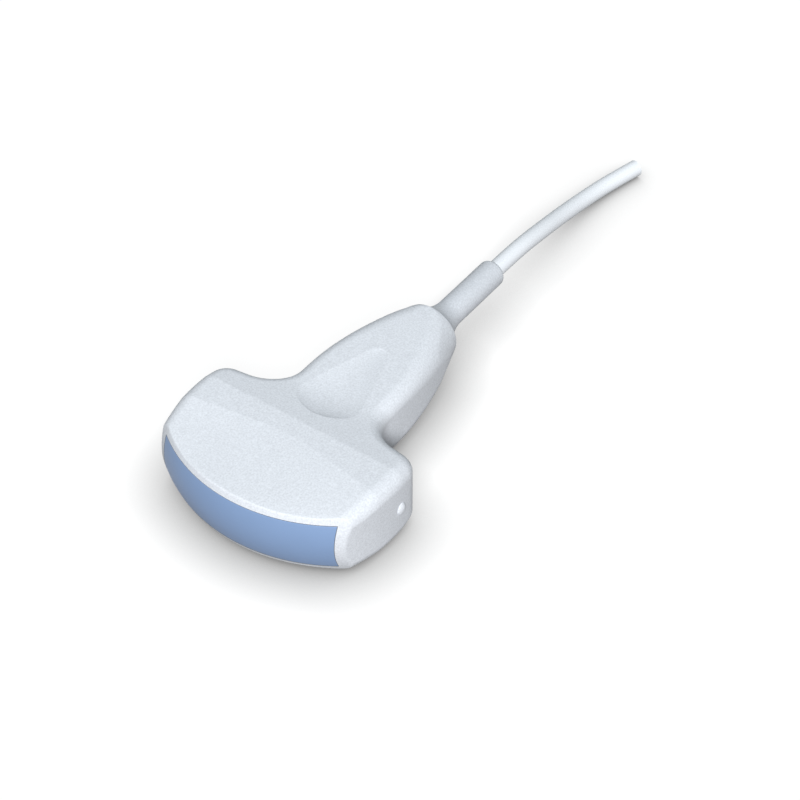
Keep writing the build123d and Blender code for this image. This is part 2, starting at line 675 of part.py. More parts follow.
def board_screws():
    """Screws through both boards, their spacers and the spine plate."""
    return Compound([Pos(x, y, 0) * screw(BOARD_OUT, -BOARD_OUT) for x, y in SCREW_PLACES])


def bundle():
    """Upper half of the coax wires, flat on the board and gathered at the cable."""
    flat_z = BOARD_OUT + BOND + BUNDLE_THICKNESS / 2
    rise = BUNDLE_WAIST_RISE
    end_z = BUNDLE_END / 2 + BUNDLE_END_GAP
    start = RectangleRounded(BUNDLE_WIDTH, BUNDLE_THICKNESS, BUNDLE_ROUND)
    waist = RectangleRounded(BUNDLE_WAIST, BUNDLE_THICKNESS + rise, BUNDLE_ROUND)
    end = RectangleRounded(BUNDLE_END, BUNDLE_END, BUNDLE_END / 2 - BUNDLE_END_GAP)
    sections = [
        across(BUNDLE_START_Y) * Pos(0, flat_z) * start,
        across(BOARD_END_Y + BUNDLE_WAIST_RUN) * Pos(0, flat_z + rise) * waist,
        across(CABLE_START_Y - BOND) * Pos(0, end_z) * end,
    ]
    return loft(sections, ruled=True)


def ferrule():
    """Shield ferrule crimped on the cable's inner end."""
    start = CABLE_START_Y + FERRULE_SETBACK
    bore = along_y(MOUTH_R, start - PAST, FERRULE_LENGTH + 2 * PAST)
    return along_y(MOUTH_R + FERRULE_WALL, start, FERRULE_LENGTH) - bore


def clamp():
    """Upper half of the cable clamp."""
    height = CLAMP_HALF - BOND
    middle_y = CLAMP_Y + CLAMP_LENGTH / 2
    block = Pos(0, middle_y, BOND + height / 2) * Box(CLAMP_WIDTH, CLAMP_LENGTH, height)
    block = fillet(block.edges().filter_by(Axis.Y).group_by(Axis.Z)[-1], CLAMP_ROUND)
    for side in (-1, 1):
        block -= Pos(side * CLAMP_SCREW_X, middle_y, 0) * Cylinder(SCREW_R + SCREW_PLAY, 4 * CLAMP_HALF)
        seat = Cylinder(SCREW_HEAD_R + SCREW_PLAY, 2 * SCREW_HEAD)
        block -= Pos(side * CLAMP_SCREW_X, middle_y, CLAMP_HALF) * seat
    return block - along_y(MOUTH_R, CLAMP_Y - PAST, CLAMP_LENGTH + 2 * PAST)


def clamp_screws():
    """Two screws through both halves of the clamp, with their heads let into the upper half."""
    top = CLAMP_HALF - SCREW_HEAD
    one = Pos(0, CLAMP_Y + CLAMP_LENGTH / 2, 0) * screw(top, -top)
    return Compound([Pos(side * CLAMP_SCREW_X, 0, 0) * one for side in (-1, 1)])


def boot():
    """Strain relief boot: flange inside the housing, grooved neck, flared root and straight sleeve."""
    flange_y = CAVITY_END_Y + BOOT_PLAY
    neck_end_y = END_CENTRE_Y + sqrt((END_R + BOND) ** 2 - BOOT_NECK_R**2) + BOOT_OVERLAP
    neck = along_y(BOOT_NECK_R, flange_y, neck_end_y - flange_y)
    groove = 2 * (SEAL_WIRE_R + SEAL_PLAY)
    floor = BOOT_NECK_R - 2 * SEAL_WIRE_R - BOOT_PLAY
    cutter = along_y(2 * BOOT_NECK_R, SEAL_Y - groove / 2, groove)
    cutter -= along_y(floor, SEAL_Y - groove, 2 * groove)
    core = along_y(FLANGE_R, flange_y, FLANGE) + neck - cutter
    blend_x = BOOT_R + FLARE_BLEND_R
    reach = sqrt(FLARE_BLEND_R**2 - (blend_x - FLARE_R) ** 2)
    turn = atan(reach / (blend_x - FLARE_R)) / 2
    root = (FLARE_R, FLARE_LIP_Y)
    foot = (BOOT_R, FLARE_LIP_Y + reach)
    middle = (blend_x - FLARE_BLEND_R * cos(turn), foot[1] - FLARE_BLEND_R * sin(turn))
    rim = [
        Line((0, END_CENTRE_Y), (FLARE_R, END_CENTRE_Y)),
        Line((FLARE_R, END_CENTRE_Y), root),
        ThreePointArc(root, middle, foot),
        Line(foot, (BOOT_R, BOOT_END_Y)),
        Line((BOOT_R, BOOT_END_Y), (0, BOOT_END_Y)),
        Line((0, BOOT_END_Y), (0, END_CENTRE_Y)),
    ]
    sleeve = revolve(make_face(Curve() + rim), Axis.Y, 360)
    sleeve -= Pos(0, END_CENTRE_Y, 0) * Sphere(END_R + BOND)
    body = sleeve + core
    mouth = body.edges().filter_by(GeomType.CIRCLE).sort_by(Axis.Y)[-1]
    body = fillet(mouth, BOOT_EDGE_R)
    return body - along_y(MOUTH_R, CAVITY_END_Y - PAST, BOOT_END_Y)


def seal_ring():
    """Sealing ring in the boot's neck."""
    ring = Torus(BOOT_NECK_R - SEAL_WIRE_R, SEAL_WIRE_R)
    return Pos(0, SEAL_Y, 0) * Rot(90, 0, 0) * ring


def free_cable():
    """The free cable as straight runs joined by tangent arcs, above the resting face."""
    points = [Vector(*point) for point in CABLE_ROUTE]
    share_of_run = 0.45
    radii = []
    for before, here, after in zip(points, points[1:], points[2:]):
        run, follow = here - before, after - here
        half_turn = radians(run.get_angle(follow)) / 2
        radii.append(share_of_run * min(run.length, follow.length) / tan(half_turn))
    path = FilletPolyline(*points, radius=radii)
    tube = sweep(Plane(origin=path @ 0, z_dir=path % 0) * Circle(CABLE_R), path=path)
    length = sum(edge.length for edge in path.edges())
    print("cable radii", [round(radius, 1) for radius in radii])
    print("cable length", round(length, 2), "volume over section", round(tube.volume / (pi * CABLE_R**2), 2))
    return tube


def save(node, shape, raised=True):
    """Write one node; all but the free cable are raised from the mid-plane to the resting face."""
    export_step(Pos(0, 0, BAND_HALF) * shape if raised else shape, f"parts/{node}.step")


def both(name, shape):
    """Write a piece above the mid-plane and its mirror image below it."""
    save(f"upper_{name}", shape)
    save(f"lower_{name}", mirror(shape, Plane.XY))


upper_shell, lower_shell = shells()
save("upper_shell", upper_shell)
save("lower_shell", lower_shell)
save("acoustic_lens", lens())
save("outer_matching_layer", stack_layer(OUTER_LAYER_R, OUTER_MATCHING))
save("inner_matching_layer", stack_layer(INNER_LAYER_R, INNER_MATCHING))
save("piezo_elements", piezo_row())
save("backing_block", stack_layer(BACKING_R, BACKING))
save("array_frame", array_frame())
save("heat_spreader", heat_spreader())
both("flex_circuit", flex())
save("flex_connectors", flex_connectors())
both("interconnect_board", board())
save("tuning_inductors", inductors())
both("shield_can", shield_can())
save("board_spacers", spacers())
save("board_screws", board_screws())
both("coax_bundle", bundle())
save("shield_ferrule", ferrule())
both("cable_clamp", clamp())
save("clamp_screws", clamp_screws())
save("strain_relief", boot())
save("boot_seal_ring", seal_ring())
save("gripped_cable", along_y(CABLE_R, CABLE_START_Y, BOOT_END_Y - CABLE_START_Y))
save("cable", free_cable(), raised=False)
save("orientation_marker", marker_shape(0))
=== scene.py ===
"""Looks of a convex ultrasound probe that lies on a pale floor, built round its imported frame.

Lengths are in metres, in the frame's own axes: X along the lens, +Y down the cable and +Z up.
"""
import logging
from dataclasses import dataclass, field
from enum import Enum
from math import cos, pi, radians, sin, sqrt
from typing import Callable

import bmesh
import bpy
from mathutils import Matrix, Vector


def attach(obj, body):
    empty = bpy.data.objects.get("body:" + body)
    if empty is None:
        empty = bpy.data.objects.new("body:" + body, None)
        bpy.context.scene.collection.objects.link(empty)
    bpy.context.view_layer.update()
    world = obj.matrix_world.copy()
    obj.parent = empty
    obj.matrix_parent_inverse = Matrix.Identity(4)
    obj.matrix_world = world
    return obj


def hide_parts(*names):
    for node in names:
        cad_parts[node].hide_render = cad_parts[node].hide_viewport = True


Colour = tuple[float, float, float]
Point = tuple[float, float, float]

log = logging.getLogger("probe")
MM = 0.001
ROOT_BODY = "root"

# Range that most of a noise texture's values lie in
NOISE_LOW = 0.25
NOISE_HIGH = 0.75

# Sockets of the Mix node, which repeats its names for each kind of value
MIX_SHARE = 0
MIX_NUMBERS = (2, 3)
MIX_NUMBER = 0
MIX_COLOURS = (6, 7)
MIX_COLOUR = 2

# Joining and shading of the copied frame meshes, with the angle in degrees
JOIN_DISTANCE = 0.0005 * MM
CUT_SNAP = 0.0001 * MM
SHALLOW_RIM = 4.0
LARGE_FACE_WEIGHT = 80


class Slot(Enum):
    """Material slot names of the record, given with each of the scene's own pieces."""

    SHELL = "shell_plastic"
    LENS = "lens_silicone"
    BOOT = "boot_rubber"
    JACKET = "cable_jacket"
    SEAL = "seal_rubber"


def mix_colours(
    tree: bpy.types.NodeTree, share: bpy.types.NodeSocket, low: Colour, high: Colour
) -> bpy.types.NodeSocket:
    """Mix two colours by a value.

    Args:
        tree: The node tree to write in.
        share: Share of the second colour.
        low: First colour, linear.
        high: Second colour, linear.

    Returns:
        The mixed colour's socket.
    """
    node = tree.nodes.new("ShaderNodeMix")
    node.data_type = "RGBA"
    for place, colour in zip(MIX_COLOURS, (low, high)):
        node.inputs[place].default_value = (*colour, 1.0)
    tree.links.new(share, node.inputs[MIX_SHARE])
    return node.outputs[MIX_COLOUR]


class Shading:
    """A small writer for one material's nodes."""

    def __init__(self, name: str) -> None:
        """Start an empty material with a Principled shader.

        Args:
            name: The material's name.
        """
        self.material = bpy.data.materials.new(name)
        self.material.use_nodes = True
        self.tree = self.material.node_tree
        self.nodes = self.tree.nodes
        self.links = self.tree.links
        self.shader = self.nodes["Principled BSDF"]
        self.coordinates = self.nodes.new("ShaderNodeTexCoord").outputs["Object"]

    def noise(self, size: float, detail: float) -> bpy.types.NodeSocket:
        """Add noise on the piece's own coordinates.

        Args:
            size: Width of one grain, in metres.
            detail: Number of finer octaves.

        Returns:
            The noise's value socket.
        """
        node = self.nodes.new("ShaderNodeTexNoise")
        node.inputs["Scale"].default_value = 1.0 / size
        node.inputs["Detail"].default_value = detail
        self.links.new(self.coordinates, node.inputs["Vector"])
        return node.outputs["Fac"]

    def spread(self, value: bpy.types.NodeSocket, low: float, high: float) -> bpy.types.NodeSocket:
        """Map the middle half of a noise to a range.

        Args:
            value: The noise's value.
            low: Result at the low end.
            high: Result at the high end.

        Returns:
            The mapped value's socket.
        """
        node = self.nodes.new("ShaderNodeMapRange")
        node.inputs["From Min"].default_value = NOISE_LOW
        node.inputs["From Max"].default_value = NOISE_HIGH
        node.inputs["To Min"].default_value = low
        node.inputs["To Max"].default_value = high
        self.links.new(value, node.inputs["Value"])
        return node.outputs["Result"]

    def vary(
        self, share: bpy.types.NodeSocket, colour: Colour, play: float, rough: bpy.types.NodeSocket
    ) -> None:
        """Set the shader's colour, played lighter and darker, and its roughness.

        Args:
            share: Value from 0, darkest, to 1, lightest.
            colour: The middle colour, linear.
            play: Share by which the colour goes either way.
            rough: The roughness.
        """
        mixed = mix_colours(self.tree, share, scaled(colour, 1.0 - play), scaled(colour, 1.0 + play))
        self.links.new(mixed, self.shader.inputs["Base Color"])
        self.links.new(rough, self.shader.inputs["Roughness"])

    def bump(self, height: bpy.types.NodeSocket, distance: float, strength: float) -> None:
        """Bend the shader's normal by a height.

        Args:
            height: The height's socket.
            distance: Depth of the relief, in metres.
            strength: Share of the relief that shows.
        """
        node = self.nodes.new("ShaderNodeBump")
        node.inputs["Distance"].default_value = distance
        node.inputs["Strength"].default_value = strength
        self.links.new(height, node.inputs["Height"])
        self.links.new(node.outputs["Normal"], self.shader.inputs["Normal"])


def scaled(colour: Colour, share: float) -> Colour:
    """Make a colour lighter or darker.

    Args:
        colour: The colour, linear.
        share: What each channel is multiplied by.

    Returns:
        The new colour, no channel above 1.
    """
    return tuple(min(1.0, channel * share) for channel in colour)


@dataclass(frozen=True)
class GrainFinish:
    """A moulded plastic or rubber with a fine speckle, a soft mottle and a matching relief."""

    name: str
    colour: Colour
    speckle: float = 0.03
    mottle: float = 0.01
    grain: float = 0.35 * MM
    grain_detail: float = 1.5
    cloud: float = 14 * MM
    cloud_detail: float = 2.0
    relief: float = 0.02 * MM
    relief_strength: float = 0.5
    roughness: float = 0.5
    roughness_play: float = 0.05
    specular: float = 0.35
    metallic: float = 0.0

    def build(self) -> bpy.types.Material:
        """Make the material.

        Returns:
            The finished material.
        """
        shading = Shading(self.name)
        grain = shading.noise(self.grain, self.grain_detail)
        cloud = shading.noise(self.cloud, self.cloud_detail)
        mixed = shading.nodes.new("ShaderNodeMix")
        mixed.data_type = "FLOAT"
        mixed.inputs[MIX_SHARE].default_value = self.mottle / (self.mottle + self.speckle)
        for place, value in zip(MIX_NUMBERS, (grain, cloud)):
            shading.links.new(value, mixed.inputs[place])
        share = shading.spread(mixed.outputs[MIX_NUMBER], 0.0, 1.0)
        least, most = self.roughness - self.roughness_play, self.roughness + self.roughness_play
        shading.vary(share, self.colour, self.speckle + self.mottle, shading.spread(cloud, least, most))
        shading.shader.inputs["Specular IOR Level"].default_value = self.specular
        shading.shader.inputs["Metallic"].default_value = self.metallic
        shading.bump(grain, self.relief, self.relief_strength)
        return shading.material


@dataclass(frozen=True)
class SiliconeFinish:
    """Smooth blue silicone: soft sheen, a faint cloud in its colour and hardly any grain."""

    name: str = "blue_silicone"
    colour: Colour = (0.232, 0.342, 0.558)
    colour_play: float = 0.015
    cloud: float = 9 * MM
    cloud_detail: float = 2.0
    grain: float = 0.9 * MM
    grain_detail: float = 1.0
    relief: float = 0.01 * MM
    relief_strength: float = 0.3
    roughness: float = 0.42
    roughness_play: float = 0.03
    specular: float = 0.3

    def build(self) -> bpy.types.Material:
        """Make the material.

        Returns:
            The finished material.
        """
        shading = Shading(self.name)
        cloud = shading.noise(self.cloud, self.cloud_detail)
        grain = shading.noise(self.grain, self.grain_detail)
        least, most = self.roughness - self.roughness_play, self.roughness + self.roughness_play
        rough = shading.spread(grain, least, most)
        shading.vary(shading.spread(cloud, 0.0, 1.0), self.colour, self.colour_play, rough)
        shading.shader.inputs["Specular IOR Level"].default_value = self.specular
        shading.bump(grain, self.relief, self.relief_strength)
        return shading.material


SHELL_PLASTIC = GrainFinish(
    "speckled_shell_plastic", (0.75, 0.78, 0.835), speckle=0.11, grain=0.6 * MM, specular=0.2
)
BOOT_ELASTOMER = GrainFinish(
    "boot_elastomer", (0.64, 0.67, 0.72), speckle=0.11, grain=0.6 * MM, specular=0.25
)
CABLE_JACKET = GrainFinish(
    "cable_jacket_plastic", (0.835, 0.865, 0.912), speckle=0.03, relief_strength=0.0, specular=0.2
)
SEAM_RUBBER = GrainFinish("seam_adhesive", (0.10, 0.11, 0.13), speckle=0.05, roughness=0.6)
LENS_SILICONE = SiliconeFinish()

INNER_FINISHES = {
    GrainFinish("ground_epoxy", (0.45, 0.42, 0.36)): ("outer_matching_layer", "inner_matching_layer"),
    GrainFinish("diced_ceramic", (0.70, 0.64, 0.46), speckle=0.06): ("piezo_elements",),
    GrainFinish("filled_epoxy", (0.05, 0.05, 0.055), speckle=0.2, roughness=0.7): ("backing_block",),
    GrainFinish("dark_moulding", (0.09, 0.09, 0.10), speckle=0.08): (
        "array_frame",
        "flex_connectors",
        "upper_cable_clamp",
        "lower_cable_clamp",
    ),
    GrainFinish("milled_aluminium", (0.78, 0.79, 0.80), metallic=1.0, roughness=0.35): (
        "heat_spreader",
        "board_spacers",
    ),
    GrainFinish("amber_film", (0.50, 0.22, 0.04), roughness=0.25, specular=0.5): (
        "upper_flex_circuit",
        "lower_flex_circuit",
    ),
    GrainFinish("solder_mask", (0.02, 0.14, 0.05), roughness=0.3): (
        "upper_interconnect_board",
        "lower_interconnect_board",
    ),
    GrainFinish("moulded_ferrite", (0.04, 0.04, 0.045), speckle=0.15): ("tuning_inductors",),
    GrainFinish("tinned_metal", (0.66, 0.66, 0.64), metallic=1.0, roughness=0.3): (
        "upper_shield_can",
        "lower_shield_can",
        "shield_ferrule",
        "board_screws",
        "clamp_screws",
    ),
    GrainFinish("wire_insulation", (0.62, 0.60, 0.54), grain=0.3 * MM, relief=0.1 * MM): (
        "upper_coax_bundle",
        "lower_coax_bundle",
    ),
    GrainFinish("seal_ring_rubber", (0.02, 0.02, 0.02), roughness=0.6): ("boot_seal_ring",),
}


def place_piece(piece: bpy.types.Object, slot: Slot, *nodes: str) -> None:
    """Let a piece ride on the probe and hide the frame nodes it replaces.

    Args:
        piece: The finished piece.
        slot: Not used.
        nodes: Frame nodes that it replaces.
    """
    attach(piece, ROOT_BODY)
    if nodes:
        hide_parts(*nodes)
    log.info("%s: %d faces", piece.name, len(piece.data.polygons) if piece.type == "MESH" else 0)


def linked_object(name: str, data: bpy.types.ID) -> bpy.types.Object:
    """Make an object at the origin from its data and put it in the scene.

    Args:
        name: The object's name.
        data: Its mesh or curve.

    Returns:
        The new object.
    """
    made = bpy.data.objects.new(name, data)
    bpy.context.scene.collection.objects.link(made)
    return made


def plain_mesh(made: bpy.types.Object) -> bpy.types.Object:
    """Turn an object's evaluated modifiers into a plain mesh and drop the object itself.

    Args:
        made: The object with its modifiers.

    Returns:
        A new object of the same name with the finished mesh.
    """
    graph = bpy.context.evaluated_depsgraph_get()
    mesh = bpy.data.meshes.new_from_object(made.evaluated_get(graph), depsgraph=graph)
    name = made.name
    bpy.data.objects.remove(made, do_unlink=True)
    mesh.name = name
    return linked_object(name, mesh)


def trim_behind(work: bmesh.types.BMesh, y: float) -> None:
    """Cut a closed mesh square across and close the cut.

    Args:
        work: The mesh to trim.
        y: Place of the cut; what lies behind it goes.
    """
    parts = [*work.verts, *work.edges, *work.faces]
    cut = bmesh.ops.bisect_plane(
        work, geom=parts, dist=CUT_SNAP, plane_co=(0, y, 0), plane_no=(0, 1, 0), clear_outer=True
    )
    rim = [item for item in cut["geom_cut"] if isinstance(item, bmesh.types.BMEdge)]
    bmesh.ops.triangle_fill(work, edges=rim, use_beauty=True, normal=(0, 1, 0))


def smooth_copy(
    node: str,
    name: str,
    material: bpy.types.Material,
    crease: float,
    trim_y: float | None = None,
    crisp: Callable[[Vector], bool] | None = None,
) -> bpy.types.Object:
    """Copy a frame node with joined vertices and soft shading across its curved faces.

    Args:
        node: The frame node.
        name: The new piece's name.
        material: Its material.
        crease: Angle in degrees above which an edge stays sharp.
        trim_y: Where the copy is cut square across, if it is.
        crisp: Test of an edge's middle for the shallow rims that stay sharp too.

    Returns:
        The finished piece.
    """
    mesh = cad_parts[node].data.copy()
    work = bmesh.new()
    work.from_mesh(mesh)
    bmesh.ops.remove_doubles(work, verts=work.verts, dist=JOIN_DISTANCE)
    bmesh.ops.dissolve_degenerate(work, edges=work.edges, dist=JOIN_DISTANCE)
    if trim_y is not None:
        trim_behind(work, trim_y)
    for edge in work.edges:
        turn = edge.calc_face_angle(0.0) if len(edge.link_faces) == 2 else pi
        middle = (edge.verts[0].co + edge.verts[1].co) / 2
        shallow_rim = crisp is not None and turn > radians(SHALLOW_RIM) and crisp(middle)
        edge.smooth = not (turn > radians(crease) or shallow_rim)
    for face in work.faces:
        face.smooth = True
    work.to_mesh(mesh)
    work.free()
    mesh.materials.clear()
    mesh.materials.append(material)
    copy = linked_object(name, mesh)
    weighted = copy.modifiers.new("even_shading", "WEIGHTED_NORMAL")
    weighted.keep_sharp = True
    weighted.weight = LARGE_FACE_WEIGHT
    return plain_mesh(copy)


def settle_order(
    parts: bmesh.types.BMVertSeq | bmesh.types.BMFaceSeq, kept: int, place: Callable[..., Vector]
) -> None:
    """Put a mesh's new points or faces in order by place: a new ball's order changes from run to run.

    Args:
        parts: The points or faces.
        kept: How many at the start keep their order.
        place: Tells where one of them lies.
    """
    parts.index_update()
    ordered = sorted(parts, key=lambda part: (min(part.index, kept), *place(part)))
    for index, part in enumerate(ordered):
        part.index = index
    parts.sort()


class GeometryTree:
    """A small writer for one Geometry Nodes tree with named inputs."""

    def __init__(self, name: str, inputs: dict[str, float]) -> None:
        """Start a tree.

        Args:
            name: The tree's name.
            inputs: Names and values of its number inputs.
        """
        self.tree = bpy.data.node_groups.new(name, "GeometryNodeTree")
        self.tree.interface.new_socket("Geometry", in_out="OUTPUT", socket_type="NodeSocketGeometry")
        self.values = dict(inputs)
        self.sockets = {}
        for label in inputs:
            socket = self.tree.interface.new_socket(label, in_out="INPUT", socket_type="NodeSocketFloat")
            self.sockets[label] = socket.identifier
        self.entry = self.node("NodeGroupInput")
        self.exit = self.node("NodeGroupOutput")

    def node(self, kind: str, **settings: object) -> bpy.types.Node:
        """Add a node and set its options.

        Args:
            kind: The node's type name.
            settings: Options by attribute name.

        Returns:
            The new node.
        """
        node = self.tree.nodes.new(kind)
        for key, value in settings.items():
            setattr(node, key, value)
        return node

    def plug(self, target: bpy.types.NodeSocket, value: object) -> None:
        """Link a socket or set its value.

        Args:
            target: The input socket.
            value: A socket, the name of a tree input, or a number.
        """
        if isinstance(value, str):
            value = self.entry.outputs[value]
        if isinstance(value, bpy.types.NodeSocket):
            self.tree.links.new(value, target)
        else:
            target.default_value = value

    def math(self, operation: str, first: object, second: object = 0.0) -> bpy.types.NodeSocket:
        """Add one step of arithmetic.

        Args:
            operation: Blender's name of the operation.
            first: First value, input name or socket.
            second: Second value, input name or socket.

        Returns:
            The result's socket.
        """
        node = self.node("ShaderNodeMath", operation=operation)
        self.plug(node.inputs[0], first)
        self.plug(node.inputs[1], second)
        return node.outputs[0]

    def leg(self, hypotenuse: object, side: object) -> bpy.types.NodeSocket:
        """Work out the other short side of a right-angled triangle.

        Args:
            hypotenuse: The long side.
            side: The known short side.

        Returns:
            The other side's socket.
        """
        whole = self.math("MULTIPLY", hypotenuse, hypotenuse)
        return self.math("SQRT", self.math("SUBTRACT", whole, self.math("MULTIPLY", side, side)))

    def finish(
        self, geometry: bpy.types.NodeSocket, material: bpy.types.Material, name: str
    ) -> bpy.types.Object:
        """Close the tree, run it and keep its plain mesh.

        Args:
            geometry: The tree's last geometry.
            material: The material to set.
            name: The new piece's name.

        Returns:
            The finished piece.
        """
        realize = self.node("GeometryNodeRealizeInstances")
        dress = self.node("GeometryNodeSetMaterial")
        dress.inputs["Material"].default_value = material
        self.tree.links.new(geometry, realize.inputs[0])
        self.tree.links.new(realize.outputs[0], dress.inputs["Geometry"])
        self.tree.links.new(dress.outputs[0], self.exit.inputs[0])
        carrier = linked_object(name, bpy.data.meshes.new(name))
        modifier = carrier.modifiers.new(name, "NODES")
        modifier.node_group = self.tree
        for label, identifier in self.sockets.items():
            modifier[identifier] = self.values[label]
        return plain_mesh(carrier)


@dataclass
class ConvexWindow:
    """The blue lens and the thin seam round it, both on the crowned convex face."""

    face_radius: float = 59.993 * MM
    face_centre_y: float = 26.2 * MM
    crown_radius: float = 25.0 * MM
    chord: float = 68.8 * MM
    height: float = 18.3 * MM
    thickness: float = 1.4 * MM
    middle_z: float = 14.0 * MM
    seam_radius: float = 0.16 * MM
    seam_depth: float = 0.16 * MM
    columns: int = 121
    layers: int = 3
    rows: int = 25
    rim_width: float = 0.18 * MM
    rim_steps: int = 3
    rim_angle: float = 40.0
    crease: float = 50.0
    seam_steps: int = 348
    seam_sides: int = 8

    def inputs(self) -> dict[str, float]:
        """Name the sizes that both trees take.

        Returns:
            Each input's name and value.
        """
        return {
            "Face Radius": self.face_radius,
            "Face Centre Y": self.face_centre_y,
            "Crown Radius": self.crown_radius,
            "Chord": self.chord,
            "Height": self.height,
            "Thickness": self.thickness,
            "Middle Z": self.middle_z,
        }

    def face_depth(
        self, tree: GeometryTree, x: bpy.types.NodeSocket, z: bpy.types.NodeSocket, inner: object
    ) -> bpy.types.NodeSocket:
        """Work out Y on the crowned face or part of the way to its inner side.

        Args:
            tree: The tree to write in.
            x: Place along the lens.
            z: Height above the lens's middle.
            inner: Share of the way from the crowned outside to the round inside.

        Returns:
            The Y value's socket.
        """
        half = tree.math("MULTIPLY", "Height", 0.5)
        crown = tree.math("SUBTRACT", tree.leg("Crown Radius", z), tree.leg("Crown Radius", half))
        outer_radius = tree.math("ADD", "Face Radius", crown)
        inner_radius = tree.math("SUBTRACT", "Face Radius", "Thickness")
        step = tree.math("MULTIPLY", tree.math("SUBTRACT", inner_radius, outer_radius), inner)
        radius = tree.math("ADD", outer_radius, step)
        return tree.math("SUBTRACT", "Face Centre Y", tree.leg(radius, x))

    def set_position(
        self, tree: GeometryTree, geometry: bpy.types.NodeSocket, x: object, y: object, z: object
    ) -> bpy.types.NodeSocket:
        """Move each point to a worked-out place.

        Args:
            tree: The tree to write in.
            geometry: The geometry to move.
            x: New X.
            y: New Y.
            z: New height above the lens's middle.

        Returns:
            The moved geometry's socket.
        """
        combine = tree.node("ShaderNodeCombineXYZ")
        tree.plug(combine.inputs[0], x)
        tree.plug(combine.inputs[1], y)
        tree.plug(combine.inputs[2], tree.math("ADD", z, "Middle Z"))
        move = tree.node("GeometryNodeSetPosition")
        tree.plug(move.inputs["Geometry"], geometry)
        tree.plug(move.inputs["Position"], combine.outputs[0])
        return move.outputs[0]

    def split_position(self, tree: GeometryTree) -> bpy.types.Node:
        """Take each point's place apart.

        Args:
            tree: The tree to write in.

        Returns:
            The node that gives X, Y and Z.
        """
        split = tree.node("ShaderNodeSeparateXYZ")
        tree.plug(split.inputs[0], tree.node("GeometryNodeInputPosition").outputs[0])
        return split

    def build_lens(self, material: bpy.types.Material) -> bpy.types.Object:
        """Bend a fine block to the lens's form.

        Args:
            material: The lens's material.

        Returns:
            The finished lens.
        """
        tree = GeometryTree("lens_form", self.inputs())
        block = tree.node("GeometryNodeMeshCube")
        size = tree.node("ShaderNodeCombineXYZ")
        tree.plug(size.inputs[0], "Chord")
        tree.plug(size.inputs[1], 1.0)
        tree.plug(size.inputs[2], "Height")
        tree.plug(block.inputs["Size"], size.outputs[0])
        tree.plug(block.inputs["Vertices X"], self.columns)
        tree.plug(block.inputs["Vertices Y"], self.layers)
        tree.plug(block.inputs["Vertices Z"], self.rows)
        split = self.split_position(tree)
        inner = tree.math("ADD", split.outputs[1], 0.5)
        depth = self.face_depth(tree, split.outputs[0], split.outputs[2], inner)
        moved = self.set_position(tree, block.outputs[0], split.outputs[0], depth, split.outputs[2])
        lens = tree.finish(moved, material, "lens")
        bevel = lens.modifiers.new("soft_rim", "BEVEL")
        bevel.width = self.rim_width
        bevel.segments = self.rim_steps
        bevel.limit_method = "ANGLE"
        bevel.angle_limit = radians(self.rim_angle)
        finished = plain_mesh(lens)
        finished.data.shade_smooth()
        finished.data.set_sharp_from_angle(angle=radians(self.crease))
        return finished

    def build_seam(self, material: bpy.types.Material) -> bpy.types.Object:
        """Lay a thin bead along the lens's rim, just under the surface.

        Args:
            material: The bead's material.

        Returns:
            The finished bead.
        """
        named = self.inputs() | {"Bead Radius": self.seam_radius, "Bead Depth": self.seam_depth}
        tree = GeometryTree("seam_form", named)
        outline = tree.node("GeometryNodeCurvePrimitiveQuadrilateral")
        tree.plug(outline.inputs["Width"], "Chord")
        tree.plug(outline.inputs["Height"], "Height")
        resample = tree.node("GeometryNodeResampleCurve")
        tree.plug(resample.inputs["Curve"], outline.outputs[0])
        tree.plug(resample.inputs["Count"], self.seam_steps)
        split = self.split_position(tree)
        depth = self.face_depth(tree, split.outputs[0], split.outputs[1], 0.0)
        sunk = tree.math("ADD", depth, "Bead Depth")
        path = self.set_position(tree, resample.outputs[0], split.outputs[0], sunk, split.outputs[1])
        ring = tree.node("GeometryNodeCurvePrimitiveCircle")
        tree.plug(ring.inputs["Resolution"], self.seam_sides)
        tree.plug(ring.inputs["Radius"], "Bead Radius")
        bead = tree.node("GeometryNodeCurveToMesh")
        tree.plug(bead.inputs["Curve"], path)
        tree.plug(bead.inputs["Profile Curve"], ring.outputs[0])
        piece = tree.finish(bead.outputs[0], material, "lens_seam")
        piece.data.shade_smooth()
        return piece

    def build(self) -> None:
        """Make the lens and its seam and set them on the frame."""
        place_piece(self.build_lens(LENS_SILICONE.build()), Slot.LENS, "acoustic_lens")
        place_piece(self.build_seam(SEAM_RUBBER.build()), Slot.SEAL)


